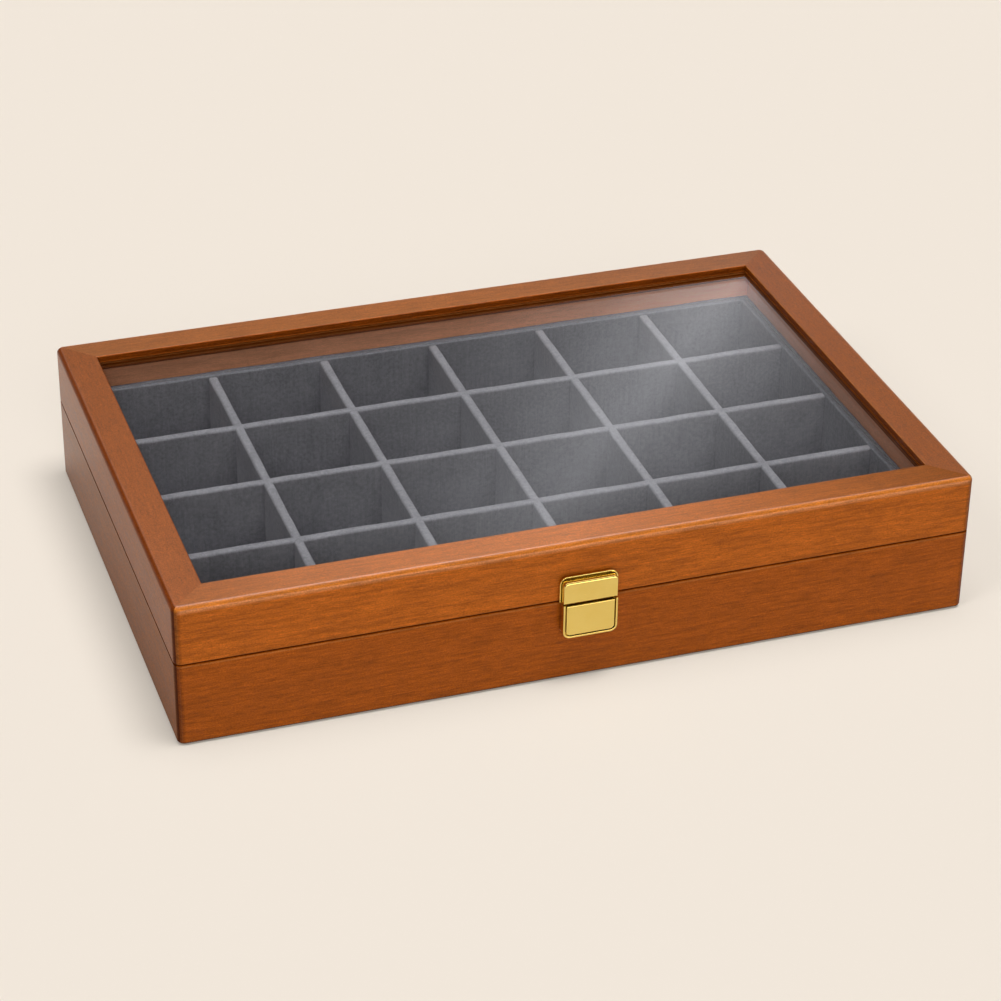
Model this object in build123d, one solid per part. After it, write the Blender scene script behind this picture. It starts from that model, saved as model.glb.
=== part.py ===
from build123d import *
import os

# Glass-topped cufflink display box, in millimetres.
# X runs along the box, Y from the clasp to the hinges, Z up.
# The origin is the middle of the footprint, on the surface that the box stands on.

# ---- Case: overall sizes ----
BOX_WIDTH = 330.0
BOX_DEPTH = 220.0
BASE_HEIGHT = 36.1
LID_HEIGHT = 25.4
SEAM_GAP = 0.3
CORNER_RADIUS = 3.0
TOP_ROUNDING = 2.3
BOTTOM_ROUNDING = 1.2
SEAM_EASE = 0.35

# ---- Base: boards, bottom panel and the felt under it ----
BASE_WALL = 12.4
REBATE_WIDTH = 6.0
PANEL_THICKNESS = 4.0
PANEL_FIT = 0.15
FELT_THICKNESS = 0.5
FELT_INSET = 4.0

# ---- Lining and tray ----
LINER_THICKNESS = 1.8
TRAY_WALL = 2.6
TRAY_FLOOR = 3.0
RIM_ABOVE_SEAM = 7.6
RIM_ROUNDING = 0.6
COLUMNS = 6
ROWS = 4
DIVIDER_THICKNESS = 4.0
DIVIDER_DROP = 0.5
DIVIDER_ROUNDING = 0.9
DIVIDER_FIT = 0.1

# ---- Lid: frame, glass and retaining beads ----
LID_WALL = 12.0
RAIL_WIDTH = 15.0
LIP_THICKNESS = 2.9
LIP_ROUNDING = 0.5
GLASS_THICKNESS = 3.0
GLASS_FIT = 0.3
GLASS_EASE = 0.3
BEAD_WIDTH = 2.4
BEAD_HEIGHT = 3.2
BEAD_ROUNDING = 1.0

# ---- Hinges: two small butts with stop shoulders ----
HINGE_INSET = 65.0
HINGE_LENGTH = 30.0
HINGE_LEAF = 1.0
HINGE_LEAF_DEPTH = 9.0
HINGE_MORTISE_FIT = 0.1
BARREL_RADIUS = 2.0
BARREL_CLEARANCE = 0.2
KNUCKLE_GAP = 0.15
PIN_RADIUS = 0.9
PIN_CLEARANCE = 0.05
PIN_HEAD_RADIUS = 1.5
PIN_HEAD_THICKNESS = 0.6
LID_OPENING = 95.0
STOP_CLEARANCE = 0.05
STOP_LENGTH = 2.6

# ---- Hinge screws ----
SCREW_SPACING = 18.0
SCREW_INSET = 4.8
SCREW_LENGTH = 9.0
SCREW_RADIUS = 1.2
SCREW_HEAD_RADIUS = 2.2
SCREW_FIT = 0.05
SCREW_SLOT_WIDTH = 0.6
SCREW_SLOT_DEPTH = 0.4

# ---- Clasp: housing in the base and its push button ----
CLASP_WIDTH = 22.6
CLASP_PROUD = 4.2
CLASP_CORNER = 3.0
CLASP_EDGE = 0.25
HOUSING_HEIGHT = 15.2
HOUSING_BURIED = 5.0
HOUSING_RIM = 0.85
HOUSING_RIM_DEPTH = 1.4
HOUSING_WALL = 0.45
HOUSING_BACK = 0.8
HOUSING_FIT = 0.05
BUTTON_GROOVE = 0.45
BUTTON_TOP_GAP = 0.4
BUTTON_EDGE = 0.35
BUTTON_FLANGE = 0.6
BUTTON_FLANGE_FIT = 0.2
BUTTON_TRAVEL = 1.2
PUSHER_WIDTH = 1.6
PUSHER_HEIGHT = 2.0
PUSHER_OFFSET = 5.5
PUSHER_DROP = 7.2

# ---- Clasp: strike on the lid and the catch spring that holds it ----
STRIKE_WIDTH = 8.0
STRIKE_THICKNESS = 1.0
STRIKE_DROP = 6.2
STRIKE_RISE = 8.0
STRIKE_FIT = 0.1
BARB_WIDTH = 6.0
BARB_REACH = 0.8
BARB_HEIGHT = 1.1
BARB_LIFT = 0.6
SPRING_THICKNESS = 0.4
SPRING_WIDTH = 14.0
SPRING_GAP = 0.3
SPRING_TOP_DROP = 2.6
SPRING_FOOT_LIFT = 2.6
SPRING_LEG_HEIGHT = 7.8
SPRING_BEND = 0.35
WINDOW_CLEARANCE = 0.3
WINDOW_SIDE = 0.6
WINDOW_BELOW = 0.4

# ---- Clasp: plate and block on the lid, pins and rivets ----
PLATE_OVERHANG = 0.8
PLATE_HEIGHT = 11.2
PLATE_THICKNESS = 1.0
PLATE_CORNER = 3.3
PLATE_BEAD_WIDTH = 0.7
PLATE_BEAD_RISE = 0.45
BLOCK_BOTTOM_GAP = 0.3
BLOCK_TOP_GAP = 1.2
BLOCK_CORNER = 2.0
BLOCK_EDGE = 0.8
CLASP_PIN_RADIUS = 0.5
CLASP_PIN_HEAD_RADIUS = 1.1
CLASP_PIN_HEAD = 0.5
CLASP_PIN_LENGTH = 6.2
CLASP_PIN_OFFSET = 4.0
CLASP_PIN_LIFT = 5.9
RIVET_RADIUS = 0.8
RIVET_OFFSET = 2.2
RIVET_LIFT = 5.6
RIVET_IN_BLOCK = 1.7
RIVET_IN_RAIL = 6.0

# ---- Levels and places worked out from the sizes ----
HALF_WIDTH = BOX_WIDTH / 2
HALF_DEPTH = BOX_DEPTH / 2
BASE_LOW = FELT_THICKNESS
BASE_TOP = BASE_LOW + BASE_HEIGHT
LID_LOW = BASE_TOP + SEAM_GAP
LID_TOP = LID_LOW + LID_HEIGHT
PANEL_TOP = BASE_LOW + PANEL_THICKNESS
FLOOR_TOP = PANEL_TOP + TRAY_FLOOR
RIM_TOP = BASE_TOP + RIM_ABOVE_SEAM
DIVIDER_TOP = RIM_TOP - DIVIDER_DROP
TRAY_INSET = BASE_WALL + LINER_THICKNESS
CELLS_INSET = TRAY_INSET + TRAY_WALL
CELLS_WIDTH = BOX_WIDTH - 2 * CELLS_INSET
CELLS_DEPTH = BOX_DEPTH - 2 * CELLS_INSET
LIP_LOW = LID_TOP - LIP_THICKNESS
GLASS_LOW = LIP_LOW - GLASS_THICKNESS
BEAD_LOW = GLASS_LOW - BEAD_HEIGHT
AXIS_Y = HALF_DEPTH + BARREL_RADIUS + BARREL_CLEARANCE
AXIS_Z = (BASE_TOP + LID_LOW) / 2
KNUCKLE_LENGTH = (HINGE_LENGTH - 2 * KNUCKLE_GAP) / 3
CLASP_FRONT = -HALF_DEPTH - CLASP_PROUD
HOUSING_LOW = BASE_TOP - HOUSING_HEIGHT
HOUSING_REAR = -HALF_DEPTH + HOUSING_BURIED
STRIKE_REAR = -HALF_DEPTH + STRIKE_THICKNESS
STRIKE_LOW = BASE_TOP - STRIKE_DROP
BARB_TOP = STRIKE_LOW + BARB_LIFT + BARB_HEIGHT
BLADE_FRONT = STRIKE_REAR + SPRING_GAP
LEG_REAR = HOUSING_REAR - HOUSING_BACK
LEG_FRONT = LEG_REAR - SPRING_THICKNESS
PLATE_FRONT = -HALF_DEPTH - PLATE_THICKNESS
PLATE_HALF = CLASP_WIDTH / 2 + PLATE_OVERHANG
SIDES = ("front", "right", "back", "left")
OVERCUT = 5.0


# ---- Shapes that several pieces share ----
def slab(x_low, x_high, y_low, y_high, z_low, z_high):
    """A rectangular block between two opposite corners."""
    block = Box(x_high - x_low, y_high - y_low, z_high - z_low, align=(Align.MIN, Align.MIN, Align.MIN))
    return Pos(x_low, y_low, z_low) * block


def inset_slab(inset, z_low, z_high):
    """A block on the box's centre line, set in from the outside by one distance all round."""
    x_half = HALF_WIDTH - inset
    y_half = HALF_DEPTH - inset
    return slab(-x_half, x_half, -y_half, y_half, z_low, z_high)


def inset_ring(inset, thickness, z_low, z_high):
    """A rectangular ring, set in from the outside of the box."""
    hole = inset_slab(inset + thickness, z_low - OVERCUT, z_high + OVERCUT)
    return inset_slab(inset, z_low, z_high) - hole


def rod(radius, start, direction, length):
    """A cylinder from a start point along a direction."""
    return extrude(Plane(origin=start, z_dir=direction) * Circle(radius), length)


def tile(half_width, y_low, y_high, z_low, z_high, radius, end):
    """A plate that faces the front, with its two corners rounded at the bottom or at the top."""
    plate = slab(-half_width, half_width, y_low, y_high, z_low, z_high)
    corners = plate.edges().filter_by(Axis.Y).group_by(Axis.Z)
    return fillet(corners[0] if end == "bottom" else corners[-1], radius)


def mitre_wedge(side):
    """The part of the plan that belongs to one side, cut at 45 degrees from the corners."""
    reach = min(BOX_WIDTH, BOX_DEPTH) / 3
    outline = []
    turns = {"front": ((-1, -1), (1, -1)), "right": ((1, -1), (1, 1)),
             "back": ((1, 1), (-1, 1)), "left": ((-1, 1), (-1, -1))}
    first, second = turns[side]
    for corner, offset in ((first, OVERCUT), (second, OVERCUT), (second, -reach), (first, -reach)):
        outline.append((corner[0] * (HALF_WIDTH + offset), corner[1] * (HALF_DEPTH + offset)))
    height = LID_TOP + 2 * OVERCUT
    return Pos(0, 0, -OVERCUT) * extrude(make_face(Polyline(outline, close=True)), height)


def four_sides(name, ring):
    """Cut a ring into its four mitred sides, named for the side of the box that each lies on."""
    return {f"{name}_{side}": ring & mitre_wedge(side) for side in SIDES}


def case_block(z_low, z_high, rounded_end, rounding):
    """The whole outside of the base or the lid, with its seam edge eased."""
    block = inset_slab(0, z_low, z_high)
    block = fillet(block.edges().filter_by(Axis.Z), CORNER_RADIUS)
    rounded, seam = (0, -1) if rounded_end == "bottom" else (-1, 0)
    block = fillet(block.faces().sort_by(Axis.Z)[rounded].edges(), rounding)
    return chamfer(block.faces().sort_by(Axis.Z)[seam].edges(), SEAM_EASE)


# ---- Hinges ----
def hinge_places():
    """The name and the X of the middle of each hinge."""
    offset = HALF_WIDTH - HINGE_INSET
    return (("left", -offset), ("right", offset))


def knuckle(x_low, x_high):
    """A length of barrel around the hinge axis, still without its bore."""
    return rod(BARREL_RADIUS, (x_low, AXIS_Y, AXIS_Z), (1, 0, 0), x_high - x_low)


def stop_shoulder(x_low, x_high):
    """The square shoulder under a lid knuckle that meets the back board when the lid is open."""
    depth = BARREL_RADIUS + BARREL_CLEARANCE - STOP_CLEARANCE
    shoulder = slab(x_low, x_high, -depth, 0, -STOP_LENGTH, 0)
    return Pos(0, AXIS_Y, AXIS_Z) * Rot(LID_OPENING, 0, 0) * shoulder


def hinge_bore(x):
    start = (x - HINGE_LENGTH, AXIS_Y, AXIS_Z)
    return rod(PIN_RADIUS + PIN_CLEARANCE, start, (1, 0, 0), 2 * HINGE_LENGTH)


def screw_places(x):
    return [(x - SCREW_SPACING / 2, HALF_DEPTH - SCREW_INSET), (x + SCREW_SPACING / 2, HALF_DEPTH - SCREW_INSET)]


def screw_body(x, y, z_face, inward, fit):
    """A countersunk screw from its face, or with a fit the hole that takes it."""
    start = (x, y, z_face)
    shank = rod(SCREW_RADIUS + fit, start, (0, 0, inward), SCREW_LENGTH + fit)
    cone = Cone(SCREW_HEAD_RADIUS + fit, SCREW_RADIUS + fit, HINGE_LEAF, align=(Align.CENTER, Align.CENTER, Align.MIN))
    turn = 0 if inward > 0 else 180
    return shank + Pos(*start) * Rot(turn, 0, 0) * cone


def hinge_screw(x, y, z_face, inward):
    screw = screw_body(x, y, z_face, inward, 0)
    z_ends = sorted((z_face - inward * OVERCUT, z_face + inward * SCREW_SLOT_DEPTH))
    half_slot = SCREW_SLOT_WIDTH / 2
    slot = slab(x - SCREW_HEAD_RADIUS, x + SCREW_HEAD_RADIUS, y - half_slot, y + half_slot, *z_ends)
    return screw - slot


def hinge_screws(z_face, inward):
    """All the screws of one row, as separate solids."""
    screws = []
    for _, x_hinge in hinge_places():
        for x, y in screw_places(x_hinge):
            screws.append(hinge_screw(x, y, z_face, inward))
    return Compound(children=screws)


def leaf(x, z_low, z_face, inward):
    """The flat leaf of a hinge, with its screw holes."""
    x_half = HINGE_LENGTH / 2
    plate = slab(x - x_half, x + x_half, HALF_DEPTH - HINGE_LEAF_DEPTH, HALF_DEPTH, z_low, z_low + HINGE_LEAF)
    for x_screw, y_screw in screw_places(x):
        plate -= screw_body(x_screw, y_screw, z_face, inward, SCREW_FIT)
    return plate


def leaf_web(x_low, x_high, z_low):
    """The neck that joins a leaf to its knuckle."""
    return slab(x_low, x_high, HALF_DEPTH, AXIS_Y, z_low, z_low + HINGE_LEAF)


def base_hinge_leaf(x):
    z_low = BASE_TOP - HINGE_LEAF
    x_half = KNUCKLE_LENGTH / 2
    barrel = knuckle(x - x_half, x + x_half) + leaf_web(x - x_half, x + x_half, z_low)
    return leaf(x, z_low, BASE_TOP, -1) + (barrel - hinge_bore(x))


def lid_hinge_leaf(x):
    hinge = leaf(x, LID_LOW, LID_LOW, 1)
    for x_low in (x - HINGE_LENGTH / 2, x + HINGE_LENGTH / 2 - KNUCKLE_LENGTH):
        x_high = x_low + KNUCKLE_LENGTH
        barrel = knuckle(x_low, x_high) + leaf_web(x_low, x_high, LID_LOW) + stop_shoulder(x_low, x_high)
        hinge += barrel - hinge_bore(x)
    return hinge


def hinge_pin(x):
    x_low = x - HINGE_LENGTH / 2 - KNUCKLE_GAP
    length = HINGE_LENGTH + 2 * KNUCKLE_GAP
    pin = rod(PIN_RADIUS, (x_low, AXIS_Y, AXIS_Z), (1, 0, 0), length)
    pin += rod(PIN_HEAD_RADIUS, (x_low, AXIS_Y, AXIS_Z), (-1, 0, 0), PIN_HEAD_THICKNESS)
    return pin + rod(PIN_HEAD_RADIUS, (x_low + length, AXIS_Y, AXIS_Z), (1, 0, 0), PIN_HEAD_THICKNESS)


def leaf_mortise(x, z_low):
    """The recess for a leaf, a little longer and deeper than the leaf."""
    x_half = HINGE_LENGTH / 2 + HINGE_MORTISE_FIT
    y_low = HALF_DEPTH - HINGE_LEAF_DEPTH - HINGE_MORTISE_FIT
    return slab(x - x_half, x + x_half, y_low, HALF_DEPTH + OVERCUT, z_low, z_low + HINGE_LEAF)


def cut_hinge_seats(board, z_low, z_face, inward):
    for _, x in hinge_places():
        board -= leaf_mortise(x, z_low)
        for x_screw, y_screw in screw_places(x):
            board -= screw_body(x_screw, y_screw, z_face, inward, SCREW_FIT)
    return board


# ---- Clasp ----
def housing_profile(inset, y_low, y_high, z_high):
    """The outline of the clasp housing, set in by one distance at its sides and bottom."""
    half = CLASP_WIDTH / 2 - inset
    return tile(half, y_low, y_high, HOUSING_LOW + inset, z_high, CLASP_CORNER - inset, "bottom")


def clasp_pin_rods(radius):
    """The shanks of the two pins that hold the housing and the spring to the front board."""
    z = HOUSING_LOW + CLASP_PIN_LIFT
    return [rod(radius, (x, LEG_FRONT, z), (0, 1, 0), CLASP_PIN_LENGTH) for x in (-CLASP_PIN_OFFSET, CLASP_PIN_OFFSET)]


def cut_clasp_pins(piece):
    for shank in clasp_pin_rods(CLASP_PIN_RADIUS + HOUSING_FIT):
        piece -= shank
    return piece


def clasp_base_pins():
    z = HOUSING_LOW + CLASP_PIN_LIFT
    pins = []
    for shank in clasp_pin_rods(CLASP_PIN_RADIUS):
        x = shank.center().X
        pins.append(shank + rod(CLASP_PIN_HEAD_RADIUS, (x, LEG_FRONT, z), (0, -1, 0), CLASP_PIN_HEAD))
    return Compound(children=pins)


def clasp_housing():
    """An open-topped brass box, half sunk in the front board, with a rim around the button."""
    rim_rear = CLASP_FRONT + HOUSING_RIM_DEPTH
    housing = housing_profile(0, CLASP_FRONT, HOUSING_REAR, BASE_TOP)
    housing -= housing_profile(HOUSING_RIM, CLASP_FRONT - OVERCUT, rim_rear, BASE_TOP + OVERCUT)
    housing -= housing_profile(HOUSING_WALL, rim_rear, LEG_REAR, BASE_TOP + OVERCUT)
    housing = fillet(housing.faces().sort_by(Axis.Y)[0].edges(), CLASP_EDGE)
    return cut_clasp_pins(housing)


def clasp_button():
    """The push button: a bevelled plate, a flange behind the rim, and two pushers on the spring."""
    inset = HOUSING_RIM + BUTTON_GROOVE
    flange_front = CLASP_FRONT + HOUSING_RIM_DEPTH
    flange_rear = flange_front + BUTTON_FLANGE
    top = BASE_TOP - BUTTON_TOP_GAP
    plate = housing_profile(inset, CLASP_FRONT, flange_front, top)
    plate = fillet(plate.faces().sort_by(Axis.Y)[0].edges(), BUTTON_EDGE)
    button = plate + housing_profile(HOUSING_WALL + BUTTON_FLANGE_FIT, flange_front, flange_rear, top)
    z_low = BASE_TOP - PUSHER_DROP
    for x in (-PUSHER_OFFSET, PUSHER_OFFSET):
        x_low = x - PUSHER_WIDTH / 2
        y_high = BLADE_FRONT - STRIKE_FIT
        button += slab(x_low, x_low + PUSHER_WIDTH, flange_rear, y_high, z_low, z_low + PUSHER_HEIGHT)
    return button


def clasp_catch_spring():
    """A folded spring strip: its blade has a window that holds the strike's barb."""
    x_half = SPRING_WIDTH / 2
    foot = HOUSING_LOW + SPRING_FOOT_LIFT
    blade_rear = BLADE_FRONT + SPRING_THICKNESS
    spring = slab(-x_half, x_half, BLADE_FRONT, LEG_REAR, foot, BASE_TOP - SPRING_TOP_DROP)
    spring -= slab(-x_half, x_half, blade_rear, LEG_FRONT, foot + SPRING_THICKNESS, BASE_TOP)
    spring -= slab(-x_half, x_half, blade_rear, LEG_REAR, foot + SPRING_LEG_HEIGHT, BASE_TOP)
    bends = spring.faces().sort_by(Axis.Z)[0].edges().filter_by(Axis.X)
    spring = fillet(bends, SPRING_BEND)
    window_half = BARB_WIDTH / 2 + WINDOW_SIDE
    window_low = STRIKE_LOW + BARB_LIFT - WINDOW_BELOW
    window_high = BARB_TOP + WINDOW_CLEARANCE
    spring -= slab(-window_half, window_half, BLADE_FRONT, blade_rear, window_low, window_high)
    return cut_clasp_pins(spring)


def rivet_rods(radius):
    """The two rivets that hold block, plate and strike to the lid's front rail."""
    z = LID_LOW + RIVET_LIFT
    length = RIVET_IN_BLOCK + PLATE_THICKNESS + RIVET_IN_RAIL
    start_y = PLATE_FRONT - RIVET_IN_BLOCK
    return [rod(radius, (x, start_y, z), (0, 1, 0), length) for x in (-RIVET_OFFSET, RIVET_OFFSET)]


def cut_rivets(piece):
    for shank in rivet_rods(RIVET_RADIUS + HOUSING_FIT):
        piece -= shank
    return piece


def clasp_strike():
    """A tongue that hangs from the lid into the housing, with a barb behind its lower end."""
    half = STRIKE_WIDTH / 2
    tongue = slab(-half, half, -HALF_DEPTH, STRIKE_REAR, STRIKE_LOW, LID_LOW + STRIKE_RISE)
    barb_low = BARB_TOP - BARB_HEIGHT
    tip = (STRIKE_REAR + BARB_REACH, BARB_TOP)
    side = make_face(Polyline((STRIKE_REAR, barb_low), tip, (STRIKE_REAR, BARB_TOP), close=True))
    barb = extrude(Plane(origin=(-BARB_WIDTH / 2, 0, 0), x_dir=(0, 1, 0), z_dir=(1, 0, 0)) * side, BARB_WIDTH)
    return cut_rivets(tongue + barb)


def clasp_lid_plate():
    """The back plate on the lid, with a raised bead round its sides and top."""
    top = LID_LOW + PLATE_HEIGHT
    bead_front = PLATE_FRONT - PLATE_BEAD_RISE
    inner_half = PLATE_HALF - PLATE_BEAD_WIDTH
    inner_corner = PLATE_CORNER - PLATE_BEAD_WIDTH
    plate = tile(PLATE_HALF, bead_front, -HALF_DEPTH, LID_LOW, top, PLATE_CORNER, "top")
    field_low = LID_LOW - OVERCUT
    plate -= tile(inner_half, bead_front, PLATE_FRONT, field_low, top - PLATE_BEAD_WIDTH, inner_corner, "top")
    plate = fillet(plate.faces().sort_by(Axis.Y)[0].edges(), CLASP_EDGE)
    return cut_rivets(plate)


def clasp_lid_block():
    """The finger block on the lid, level with the button, its front edges well rounded."""
    z_low = LID_LOW + BLOCK_BOTTOM_GAP
    z_high = LID_LOW + PLATE_HEIGHT - BLOCK_TOP_GAP
    block = tile(CLASP_WIDTH / 2, CLASP_FRONT, PLATE_FRONT, z_low, z_high, BLOCK_CORNER, "top")
    block = fillet(block.faces().sort_by(Axis.Y)[0].edges(), BLOCK_EDGE)
    return cut_rivets(block)


def cut_housing_mortise(board):
    """The open-topped recess for the housing, and the holes for its pins."""
    depth = HOUSING_REAR + HOUSING_FIT
    board -= housing_profile(-HOUSING_FIT, -HALF_DEPTH - OVERCUT, depth, BASE_TOP + OVERCUT)
    return cut_clasp_pins(board)


def cut_strike_recess(board):
    half = STRIKE_WIDTH / 2 + STRIKE_FIT
    z_high = LID_LOW + STRIKE_RISE + STRIKE_FIT
    board -= slab(-half, half, -HALF_DEPTH - OVERCUT, STRIKE_REAR, LID_LOW - OVERCUT, z_high)
    return cut_rivets(board)


# ---- Case ----
def base_boards():
    shell = case_block(BASE_LOW, BASE_TOP, "bottom", BOTTOM_ROUNDING)
    shell -= inset_slab(BASE_WALL, BASE_LOW - OVERCUT, BASE_TOP + OVERCUT)
    shell -= inset_slab(BASE_WALL - REBATE_WIDTH, BASE_LOW - OVERCUT, PANEL_TOP)
    boards = four_sides("base", shell)
    boards["base_front"] = cut_housing_mortise(boards["base_front"])
    boards["base_back"] = cut_hinge_seats(boards["base_back"], BASE_TOP - HINGE_LEAF, BASE_TOP, -1)
    return boards


def base_bottom():
    return inset_slab(BASE_WALL - REBATE_WIDTH + PANEL_FIT, BASE_LOW, PANEL_TOP)


def base_felt():
    felt = inset_slab(FELT_INSET, 0, FELT_THICKNESS)
    return fillet(felt.edges().filter_by(Axis.Z), CORNER_RADIUS)


def rounded_ring(inset, thickness, z_low, z_high, rounding):
    """A ring whose top edges are softly rounded."""
    ring = inset_ring(inset, thickness, z_low, z_high)
    return fillet(ring.faces().sort_by(Axis.Z)[-1].edges(), rounding)


def lid_rails():
    shell = case_block(LID_LOW, LID_TOP, "top", TOP_ROUNDING)
    shell -= inset_slab(LID_WALL, LID_LOW - OVERCUT, LIP_LOW)
    shell -= inset_slab(RAIL_WIDTH, LID_LOW, LID_TOP + OVERCUT)
    window_edges = shell.faces().sort_by(Axis.Z)[-1].inner_wires()[0].edges()
    rails = four_sides("lid", fillet(window_edges, LIP_ROUNDING))
    rails["lid_front"] = cut_strike_recess(rails["lid_front"])
    rails["lid_back"] = cut_hinge_seats(rails["lid_back"], LID_LOW, LID_LOW, 1)
    return rails


def glass_pane():
    pane = inset_slab(LID_WALL + GLASS_FIT, GLASS_LOW, LIP_LOW)
    return chamfer(pane.edges(), GLASS_EASE)


def glass_beads():
    ring = inset_ring(LID_WALL, BEAD_WIDTH, BEAD_LOW, GLASS_LOW)
    inner_edges = ring.faces().sort_by(Axis.Z)[0].inner_wires()[0].edges()
    return four_sides("glass_bead", fillet(inner_edges, BEAD_ROUNDING))


# ---- Tray ----
def divider_places(count, span):
    """Centre lines of the dividers that cut a span into equal cells."""
    cell = (span - (count - 1) * DIVIDER_THICKNESS) / count
    pitch = cell + DIVIDER_THICKNESS
    return [pitch * (index - count / 2) for index in range(1, count)]


def divider(half_length, half_thickness):
    """A standing board along X with its two top edges rounded, before its slots are cut."""
    board = slab(-half_length, half_length, -half_thickness, half_thickness, FLOOR_TOP, DIVIDER_TOP)
    return fillet(board.edges().filter_by(Axis.X).group_by(Axis.Z)[-1], DIVIDER_ROUNDING)


def cut_slots(board, places, z_low, z_high):
    """Half-lap slots across a divider, one for each divider that crosses it."""
    half_slot = DIVIDER_THICKNESS / 2 + DIVIDER_FIT
    for x in places:
        board -= slab(x - half_slot, x + half_slot, -DIVIDER_THICKNESS, DIVIDER_THICKNESS, z_low, z_high)
    return board


def dividers():
    """Long boards slotted from below and short boards slotted from above, so they interlock."""
    across = divider_places(COLUMNS, CELLS_WIDTH)
    along = divider_places(ROWS, CELLS_DEPTH)
    lap = (FLOOR_TOP + DIVIDER_TOP) / 2
    half = DIVIDER_THICKNESS / 2
    long_board = divider(CELLS_WIDTH / 2 - DIVIDER_FIT, half)
    long_board = cut_slots(long_board, across, FLOOR_TOP - OVERCUT, lap + DIVIDER_FIT)
    short_board = divider(CELLS_DEPTH / 2 - DIVIDER_FIT, half)
    short_board = cut_slots(short_board, along, lap, DIVIDER_TOP + OVERCUT)
    pieces = {}
    for number, y in enumerate(along, 1):
        pieces[f"divider_long_{number}"] = Pos(0, y, 0) * long_board
    for number, x in enumerate(across, 1):
        pieces[f"divider_short_{number}"] = Pos(x, 0, 0) * Rot(0, 0, 90) * short_board
    return pieces


# ---- The whole box ----
def all_pieces():
    pieces = base_boards()
    pieces["base_bottom"] = base_bottom()
    pieces["base_felt"] = base_felt()
    liner = rounded_ring(BASE_WALL, LINER_THICKNESS, PANEL_TOP, RIM_TOP, RIM_ROUNDING)
    pieces.update(four_sides("liner", liner))
    tray = rounded_ring(TRAY_INSET, TRAY_WALL, PANEL_TOP, RIM_TOP, RIM_ROUNDING)
    pieces.update(four_sides("tray_wall", tray))
    pieces["tray_floor"] = inset_slab(CELLS_INSET, PANEL_TOP, FLOOR_TOP)
    pieces.update(dividers())
    pieces.update(lid_rails())
    pieces["glass_pane"] = glass_pane()
    pieces.update(glass_beads())
    for name, x in hinge_places():
        pieces[f"hinge_base_leaf_{name}"] = base_hinge_leaf(x)
        pieces[f"hinge_lid_leaf_{name}"] = lid_hinge_leaf(x)
        pieces[f"hinge_pin_{name}"] = hinge_pin(x)
    pieces["hinge_screws_base"] = hinge_screws(BASE_TOP, -1)
    pieces["hinge_screws_lid"] = hinge_screws(LID_LOW, 1)
    pieces["clasp_housing"] = clasp_housing()
    pieces["clasp_button"] = clasp_button()
    pieces["clasp_catch_spring"] = clasp_catch_spring()
    pieces["clasp_base_pins"] = clasp_base_pins()
    pieces["clasp_strike"] = clasp_strike()
    pieces["clasp_lid_plate"] = clasp_lid_plate()
    pieces["clasp_lid_block"] = clasp_lid_block()
    pieces["clasp_lid_rivets"] = Compound(children=rivet_rods(RIVET_RADIUS))
    return pieces


os.makedirs("parts", exist_ok=True)
for node, piece in all_pieces().items():
    export_step(piece, f"parts/{node}.step")
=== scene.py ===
# %% [markdown]
# # A glass-topped cufflink box
# The box is a mitred wooden case with a grey suede tray, a glass pane in the lid and a
# brass push-button clasp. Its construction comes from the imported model: every board, hinge
# and screw is already there at its real size. This notebook adds what the eye judges: the
# grain and varnish, the nap of the suede, the polish of the brass, the glass and the light.

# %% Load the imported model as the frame
import math
import bpy
import numpy as np
from mathutils import Matrix, Vector


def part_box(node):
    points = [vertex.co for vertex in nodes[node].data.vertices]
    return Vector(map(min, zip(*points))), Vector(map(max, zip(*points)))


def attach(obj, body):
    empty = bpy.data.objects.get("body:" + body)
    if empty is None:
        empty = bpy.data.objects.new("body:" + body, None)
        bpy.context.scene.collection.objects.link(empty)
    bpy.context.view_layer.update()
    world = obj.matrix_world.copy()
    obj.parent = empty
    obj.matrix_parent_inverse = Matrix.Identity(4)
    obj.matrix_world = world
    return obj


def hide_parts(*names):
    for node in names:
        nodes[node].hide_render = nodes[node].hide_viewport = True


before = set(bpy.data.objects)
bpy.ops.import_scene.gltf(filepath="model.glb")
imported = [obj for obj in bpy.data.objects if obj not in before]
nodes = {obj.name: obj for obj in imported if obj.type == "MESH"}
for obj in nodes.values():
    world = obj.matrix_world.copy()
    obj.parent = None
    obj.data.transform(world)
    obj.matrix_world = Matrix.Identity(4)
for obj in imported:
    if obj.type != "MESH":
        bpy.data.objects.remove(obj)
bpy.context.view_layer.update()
MM = 0.001

# %% [markdown]
# The camera stands in front of the box, a little to the left and 31 degrees up, with a long
# lens, so that opposite edges stay nearly parallel. A camera could be aimed with a Track To
# constraint, but writing its matrix from azimuth, elevation and roll is exact and easy to read.

# %% Camera
AZIMUTH = math.radians(-18.87)
ELEVATION = math.radians(30.72)
ROLL = math.radians(0.79)
DISTANCE = 1279.24 * MM
SHIFT_RIGHT = -1.225 * MM
SHIFT_DOWN = 15.448 * MM
LENS = 107.7
SENSOR_WIDTH = 36.0


def camera_matrix():
    """World matrix of a camera whose view axes are backward = (sin az cos el, -cos az cos el, sin el),
    right = forward x up-axis, turned by the roll, with the box's origin at the given shifts."""
    level = math.cos(ELEVATION)
    backward = Vector((math.sin(AZIMUTH) * level, -math.cos(AZIMUTH) * level, math.sin(ELEVATION)))
    right = (-backward).cross(Vector((0, 0, 1))).normalized()
    up = backward.cross(right)
    rows = Matrix((right, up, backward))
    turn = Matrix(((math.cos(ROLL), math.sin(ROLL), 0), (-math.sin(ROLL), math.cos(ROLL), 0), (0, 0, 1)))
    to_camera = (turn @ rows).to_4x4()
    to_camera.translation = Vector((SHIFT_RIGHT, -SHIFT_DOWN, -DISTANCE))
    return to_camera.inverted()


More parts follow.
